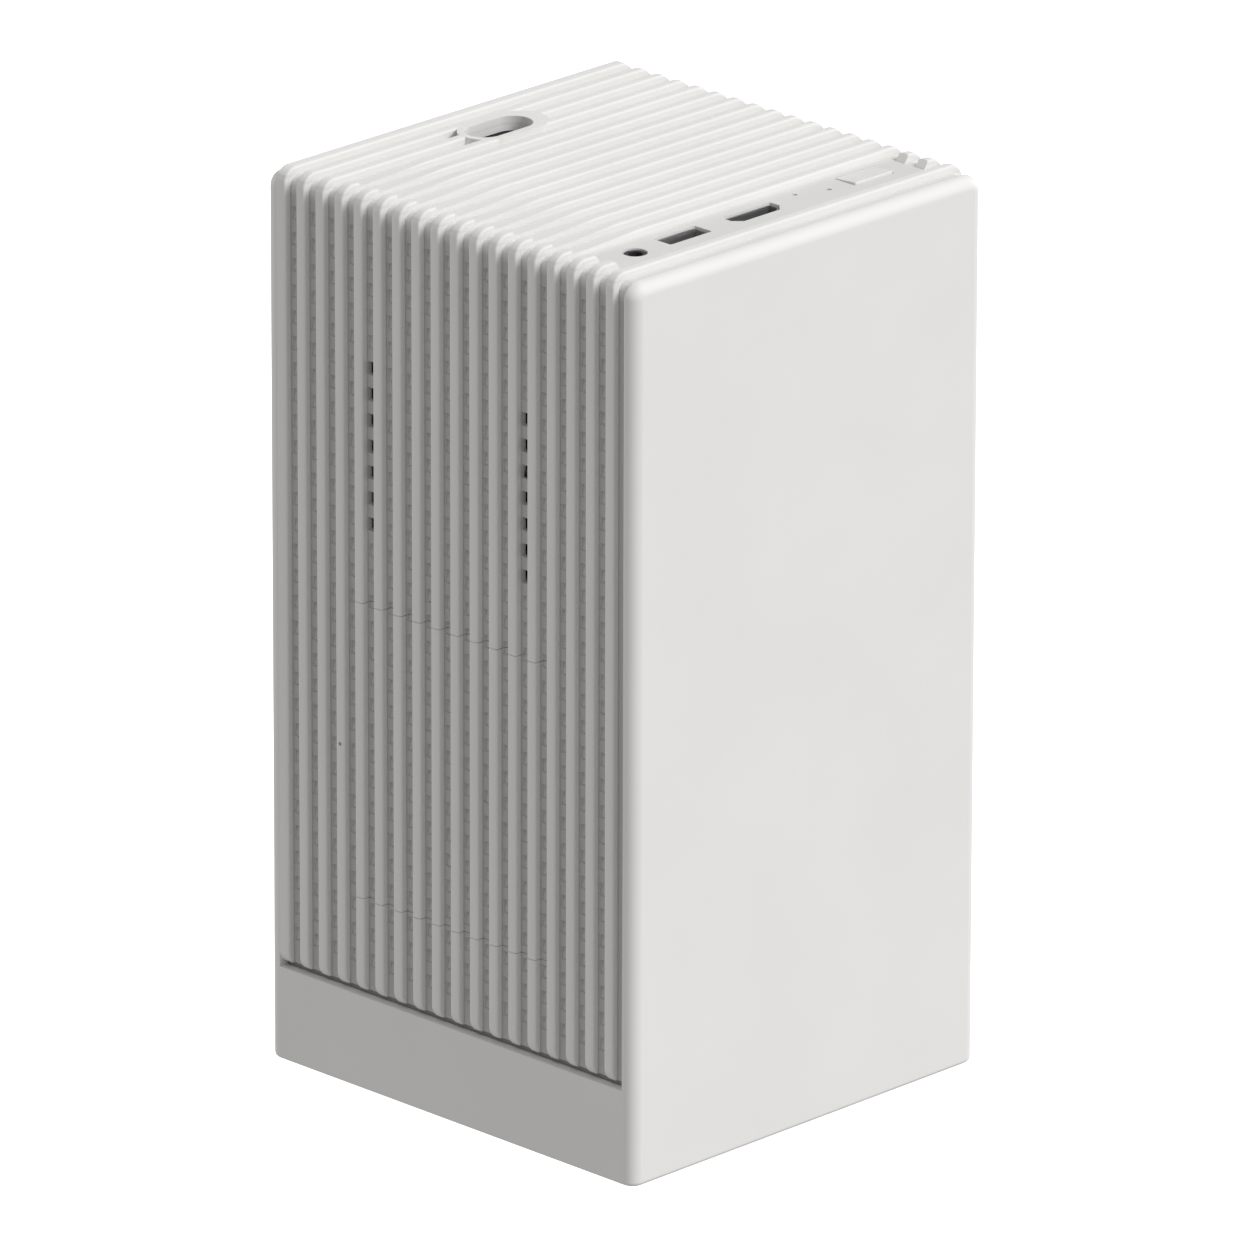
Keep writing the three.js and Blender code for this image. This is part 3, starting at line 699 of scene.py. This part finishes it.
def make_scoop_cutter():
    low, high = RIB_TOP - SCOOP_DEPTH, RIB_TOP + OVER
    y = (rib_y(SCOOP_RIBS[0]) - RIB_WIDTH - NEAR, rib_y(SCOOP_RIBS[1]) + NEAR)
    scoop = block("scoop", SCOOP_X, y, (low, high))
    return shift_edges(scoop, lambda a, b: at(2, low)(a, b) and at(0, SCOOP_X[1])(a, b), (0, 0, SCOOP_DEPTH))


def widened(limits, gap):
    return limits[0] - gap, limits[1] + gap


def make_socket_cutters():
    depth = (UNDER_SKIN - OVER, RIB_TOP + OVER)
    usb = slab("usb_opening", USB, *USB_OPENING, depth)
    round_off(usb, along(2), 0.4, 2)
    hdmi = slab("hdmi_opening", HDMI, *HDMI_OPENING, depth)
    round_off(hdmi, lambda a, b: along(2)(a, b) and a.y < HDMI[1], 2.2, 1)
    button = block("button_opening", widened(BUTTON_X, BUTTON_GAP), widened(BUTTON_Y, BUTTON_GAP), depth)
    round_off(button, along(2), 0.6, 3)
    return gather("socket_openings", [
        usb, hdmi, button,
        upright("jack_opening", JACK, JACK_OPENING, depth, 40),
        upright("pinhole", PINHOLE, TINY_HOLE, depth, 16),
        upright("light_hole", LIGHT, TINY_HOLE, depth, 16)])


def well_rim(a, b):
    def on_rim(p):
        nearest = Vector((max(-WELL_REACH, min(WELL_REACH, p.x)), WELL[1]))
        return same((Vector((p.x, p.y)) - nearest).length, WELL_RADIUS, 0.02)
    return at(2, RIB_TOP)(a, b) and on_rim(a) and on_rim(b)


def make_hood():
    hood = block("ribbed_hood_skin", (-SKIN_X, SKIN_X), (-HOOD_END, HOOD_END), (HOOD_BOTTOM, STRIP_Z))
    round_off(hood, running(1, STRIP_Z), *SKIN_BEND)
    round_off(hood, running(1, HOOD_BOTTOM), *SKIN_FOOT)
    weld(hood, make_ribs())
    weld(hood, stadium("pad", (PAD_X, WELL[1]), PAD_REACH, PAD_RADIUS, (STRIP_Z - OVER, RIB_TOP)))
    cavity = block("cavity", (-INSIDE_X, INSIDE_X), widened((-HOOD_END, HOOD_END), OVER), (20, UNDER_SKIN))
    round_off(cavity, running(1, UNDER_SKIN), 1.2, 4)
    cut(hood, cavity)
    for side in (LIP_X, (-LIP_X[1], -LIP_X[0])):
        weld(hood, block("lip", side, (-HOOD_END, HOOD_END), LIP_Z))
    cut(hood, stadium("well_hole", WELL, WELL_REACH, WELL_RADIUS, (RIB_TOP - WELL_DEPTH, RIB_TOP + OVER)))
    round_off(hood, well_rim, 0.35, 3)
    cut(hood, make_strip_cutter(), make_scoop_cutter(), make_socket_cutters(), make_slots(),
        *make_open_slots())
    release_y = rib_y(RELEASE_RIB) - RIB_WIDTH / 2
    cut(hood, crossbar("release_hole", release_y, RELEASE_Z, RELEASE_RADIUS, RELEASE_X, 12))
    hatch = twin(hood, "service_hatch_panel")
    combine(hatch, block("lid", HATCH_X, widened(HATCH_Y, -SEAM), widened(HATCH_Z, -SEAM)), "INTERSECT")
    for y in widened(HATCH_Y, -PEG_INSET):
        for z in widened(HATCH_Z, -PEG_INSET):
            peg = crossbar("peg", y, z, PEG_RADIUS, PEG_X)
            round_off(peg, at(0, PEG_X[0]), 0.4, 2)
            weld(hatch, peg)
    cut(hood, block("hatch_opening", HATCH_X, HATCH_Y, HATCH_Z))
    complete(hatch, "hood_plastic", "hatch", "service_hatch")
    complete(hood, "hood_plastic", "tower", "ribbed_hood")


# ------------------------------------------------------------------ button, sockets, feet and screws
def make_power_button():
    skirt = UNDER_SKIN - 2
    face = STRIP_Z + 0.1
    cap = block("power_key", BUTTON_X, BUTTON_Y, (skirt, face))
    shift_edges(cap, lambda a, b: at(2, face)(a, b) and at(1, BUTTON_Y[0])(a, b), (0, 0, 0.5))
    round_off(cap, along(2), 0.45, 3)
    round_off(cap, lambda a, b: a.z > STRIP_Z and b.z > STRIP_Z, 0.2, 2)
    flange = block("flange", widened(BUTTON_X, FLANGE_REACH), widened(BUTTON_Y, FLANGE_REACH),
                   (skirt - 1, UNDER_SKIN - 0.9))
    stem = upright("stem", (sum(BUTTON_X) / 2, sum(BUTTON_Y) / 2), 1.6, (STEM_BOTTOM, skirt), 16)
    weld(cap, flange, stem)
    complete(cap, "button_plastic", "power_button", "power_button")


def make_audio_jack():
    jack = slab("headphone_socket", JACK, 9, 8, (SOCKET_BASE, UNDER_SKIN - 0.3))
    round_off(jack, along(2), 0.6, 3)
    round_off(jack, at(2, UNDER_SKIN - 0.3), 0.3, 2)
    weld(jack, upright("barrel", JACK, 2.75, (UNDER_SKIN - 1, SOCKET_TOP), 40))
    cut(jack, upright("bore", JACK, 1.8, (SOCKET_BASE + 2, RIB_TOP), 40))
    round_off(jack, lambda a, b: at(2, SOCKET_TOP)(a, b) and math.dist(a[:2], JACK) < 2, 0.8, 4)
    round_off(jack, lambda a, b: at(2, SOCKET_TOP)(a, b) and math.dist(a[:2], JACK) > 2.7, 0.1, 1)
    complete(jack, "black_plastic", "tower", "audio_jack")


def make_contacts(name, centre, pitch, count, z):
    contact = slab(name, (centre[0] - pitch * (count - 1) / 2, centre[1]), pitch * 0.42, 0.16, z)
    round_off(contact, lambda a, b: at(2, z[1])(a, b), 0.07, 2)
    return repeat(contact, count, (pitch, 0, 0))


def make_usb():
    shell = slab("usb_shell", USB, 13.3, 5.2, (SOCKET_BASE, SOCKET_TOP))
    round_off(shell, along(2), 0.6, 3)
    pocket = slab("pocket", USB, 12.5, 4.4, (SOCKET_BASE + 3, RIB_TOP))
    round_off(pocket, along(2), 0.3, 2)
    cut(shell, pocket)
    round_off(shell, at(2, SOCKET_TOP), 0.12, 2)
    complete(shell, "socket_steel", "tower", "usb_a_port")
    tongue_top = SOCKET_TOP - 1
    tongue = slab("usb_tongue", (USB[0], USB[1] - 0.9), 11.4, 1.8, (SOCKET_BASE + 3.3, tongue_top))
    round_off(tongue, at(2, tongue_top), 0.35, 3)
    complete(tongue, "white_plastic", "tower", "usb_a_tongue")
    contacts = make_contacts("usb_contacts", (USB[0], USB[1] + 0.08), 2.5, 4,
                             (SOCKET_BASE + 4, SOCKET_TOP - 1.8))
    complete(contacts, "contact_brass", "tower")


def make_hdmi():
    shell = slab("hdmi_shell", HDMI, 15.6, 4.7, (SOCKET_BASE, SOCKET_TOP))
    pocket = slab("pocket", HDMI, 14.8, 3.9, (SOCKET_BASE + 3, RIB_TOP))
    for part, corner in ((shell, 1.7), (pocket, 1.5)):
        round_off(part, lambda a, b: along(2)(a, b) and a.y < HDMI[1], corner, 1)
    cut(shell, pocket)
    round_off(shell, at(2, SOCKET_TOP), 0.12, 2)
    complete(shell, "socket_steel", "tower", "hdmi_port")
    tongue_top = SOCKET_TOP - 1.5
    tongue = slab("hdmi_tongue_bar", (HDMI[0], HDMI[1] + 0.3), 11, 1.2, (SOCKET_BASE + 3.3, tongue_top))
    round_off(tongue, at(2, tongue_top), 0.3, 3)
    complete(tongue, "black_plastic", "tower", "hdmi_tongue")
    contacts = make_contacts("hdmi_contacts", (HDMI[0], HDMI[1] - 0.35), 1.0, 10,
                             (SOCKET_BASE + 4, SOCKET_TOP - 2.2))
    complete(contacts, "contact_brass", "tower")


def make_power_inlet():
    inlet = stadium("inlet_socket", WELL, WELL_REACH, 6.4, (INLET_TOP - 14, INLET_TOP))
    cut(inlet, stadium("mouth", WELL, WELL_REACH, 4.5, (INLET_TOP - 10, INLET_TOP + OVER)))
    round_off(inlet, at(2, INLET_TOP), 0.3, 3)
    complete(inlet, "black_plastic", "tower", "power_inlet")
    pin_top = INLET_TOP - 3
    for side, node in ((-4.3, "inlet_pin_left"), (4.3, "inlet_pin_right")):
        pin = upright("round_" + node, (WELL[0] + side, WELL[1]), 1.1, (INLET_TOP - 9.7, pin_top), 24)
        round_off(pin, at(2, pin_top), 0.6, 4)
        complete(pin, "contact_brass", "tower", node)


def make_network_sockets():
    housing = block("network_socket_block", (-ETHERNET_X, ETHERNET_X), ETHERNET_Y, ETHERNET_Z)
    round_off(housing, along(1), 0.5, 2)
    floor, face = ETHERNET_Z[0], ETHERNET_Y[1]
    for x in PORTS:
        port = block("port", (x - PORT_HALF, x + PORT_HALF), (ETHERNET_Y[0] + 4, face + OVER),
                     (floor + 2, floor + 9.6))
        latch = block("latch", (x - LATCH_HALF, x + LATCH_HALF), (face - 7, face + OVER),
                      (floor + 9, floor + 11.6))
        cut(housing, port, latch)
        for side in (-LAMP_OFFSET, LAMP_OFFSET):
            lamp = block("lamp", (x + side - LAMP_HALF, x + side + LAMP_HALF), (face - 0.5, face + OVER),
                         LAMP_Z)
            cut(housing, lamp)
    round_off(housing, at(1, face), 0.2, 2)
    complete(housing, "grey_plastic", "tower", "ethernet_block")
    pins = slab("port_contacts", (PORTS[0] - 3.57, face - 8), 0.4, 6, PIN_Z)
    round_off(pins, at(2, PIN_Z[1]), 0.15, 2)
    repeat(pins, 8, (1.02, 0, 0))
    repeat(pins, len(PORTS), (PORT_PITCH, 0, 0))
    complete(pins, "contact_brass", "tower")
    glass = face - 0.05
    windows = block("link_windows", (PORTS[0] - 5.7, PORTS[0] - 3.5), (face - 0.5, glass), LAMP_Z)
    round_off(windows, at(1, glass), 0.15, 2)
    repeat(windows, 2, (2 * LAMP_OFFSET, 0, 0))
    repeat(windows, len(PORTS), (PORT_PITCH, 0, 0))
    complete(windows, "light_pipe", "tower")


def make_feet():
    for centre, corner in zip(FEET, CORNERS):
        foot = upright("round_foot_" + corner, centre, FOOT_RADIUS, (0, 1.7), 48)
        ring = upright("ring", centre, FOOT_RING[0], (-OVER, 0.35), 48)
        cut(ring, upright("core", centre, FOOT_RING[1], (-2, 1), 48))
        cut(foot, ring)
        round_off(foot, lambda a, b: at(2, 0)(a, b) and math.dist(a[:2], centre) > FOOT_RADIUS - NEAR,
                  0.45, 3)
        complete(foot, "foot_rubber", "tower", "foot_" + corner)


def make_base_screws():
    for centre, corner in zip(SCREWS, CORNERS):
        screw = upright("cross_screw_" + corner, centre, 3, (1.0, 2.1), 32)
        weld(screw, upright("shank", centre, 1.5, (1.8, 30.5), 20))
        round_off(screw, lambda a, b: at(2, 1.0)(a, b), 0.35, 3)
        cut(screw, slab("drive", centre, 3, 0.7, (0, 1.7)), slab("drive", centre, 0.7, 3, (0, 1.7)))
        complete(screw, "sheet_steel", "tower", "base_screw_" + corner)


def paint_cad_nodes():
    for row in frame["record"]["subparts"]:
        node = frame["nodes"][row["node"]]
        node.data.materials.clear()
        node.data.materials.append(MATERIALS[row["material_slot"]])


# ------------------------------------------------------------------ camera, light and floor
# Where the camera stands, in metres, its turn, tip and roll in degrees, and its lens in millimetres
CAMERA_PLACE = (-2.7564, -2.7175, 1.5273)
CAMERA_TURN = -45.413
CAMERA_TIP = 90 - 20.058
CAMERA_ROLL = 0.12
CAMERA_LENS = 487.56
SENSOR = 36
FAR_CLIP = 200


def make_camera():
    data = bpy.data.cameras.new("camera")
    camera = bpy.data.objects.new("camera", data)
    bpy.context.scene.collection.objects.link(camera)
    turn = Matrix.Rotation(math.radians(CAMERA_TURN), 4, "Z")
    tip = Matrix.Rotation(math.radians(CAMERA_TIP), 4, "X")
    roll = Matrix.Rotation(math.radians(CAMERA_ROLL), 4, "Z")
    camera.matrix_world = Matrix.Translation(CAMERA_PLACE) @ turn @ tip @ roll
    data.lens = CAMERA_LENS
    data.sensor_width = SENSOR
    data.clip_end = FAR_CLIP
    bpy.context.scene.camera = camera


# Each soft light: where it comes from, its strength and its spread in degrees
LIGHTS = {
    "key": ((0.233, -0.70, 0.676), 2.17, 25),
    "right_edge": ((0.985, -0.12, 0.12), 0.7, 15),
    "rear_edge": ((-0.08, 0.985, 0.12), 0.6, 10),
}
FILL = 0.452


def make_light():
    for name, (source, strength, spread_angle) in LIGHTS.items():
        lamp = bpy.data.lights.new(name, "SUN")
        lamp.energy = strength
        lamp.angle = math.radians(spread_angle)
        light = bpy.data.objects.new(name, lamp)
        bpy.context.scene.collection.objects.link(light)
        light.rotation_euler = Vector(source).to_track_quat("Z", "Y").to_euler()
    world = bpy.data.worlds.new("studio")
    bpy.context.scene.world = world
    world.use_nodes = True
    world.node_tree.nodes["Background"].inputs["Color"].default_value = (1, 1, 1, 1)
    world.node_tree.nodes["Background"].inputs["Strength"].default_value = FILL
    bpy.context.scene.view_settings.view_transform = "Standard"


# In metres. The floor lies just under the feet and shows from above only, so the base shows from below
FLOOR_DROP = -0.0001
FLOOR_SIZE = 60


def make_floor():
    deselect()
    bpy.ops.mesh.primitive_plane_add(size=FLOOR_SIZE, location=(0, 0, FLOOR_DROP))
    floor = bpy.context.active_object
    floor.name = "floor"
    made, tree, shader, place = start_material("white floor")
    cloud = noise(tree, place, 0.5)
    tree.links.new(two_tone(tree, cloud, (0.9, 0.9, 0.9), (0.92, 0.92, 0.92)), shader.inputs["Base Color"])
    shader.inputs["Roughness"].default_value = 1.0
    shader.inputs["Emission Color"].default_value = (1, 1, 1, 1)
    shader.inputs["Emission Strength"].default_value = 1.0
    clear = tree.nodes.new("ShaderNodeBsdfTransparent")
    facing = tree.nodes.new("ShaderNodeNewGeometry")
    one_sided = tree.nodes.new("ShaderNodeMixShader")
    tree.links.new(facing.outputs["Backfacing"], one_sided.inputs["Fac"])
    tree.links.new(shader.outputs["BSDF"], one_sided.inputs[1])
    tree.links.new(clear.outputs["BSDF"], one_sided.inputs[2])
    tree.links.new(one_sided.outputs["Shader"], tree.nodes["Material Output"].inputs["Surface"])
    floor.data.materials.append(made)
    floor.visible_diffuse = False
    floor.visible_glossy = False
    floor.visible_shadow = False


make_camera()
make_light()
make_floor()
paint_cad_nodes()
make_shell()
make_hood()
make_power_button()
make_audio_jack()
make_usb()
make_hdmi()
make_power_inlet()
make_network_sockets()
make_feet()
make_base_screws()
deselect()
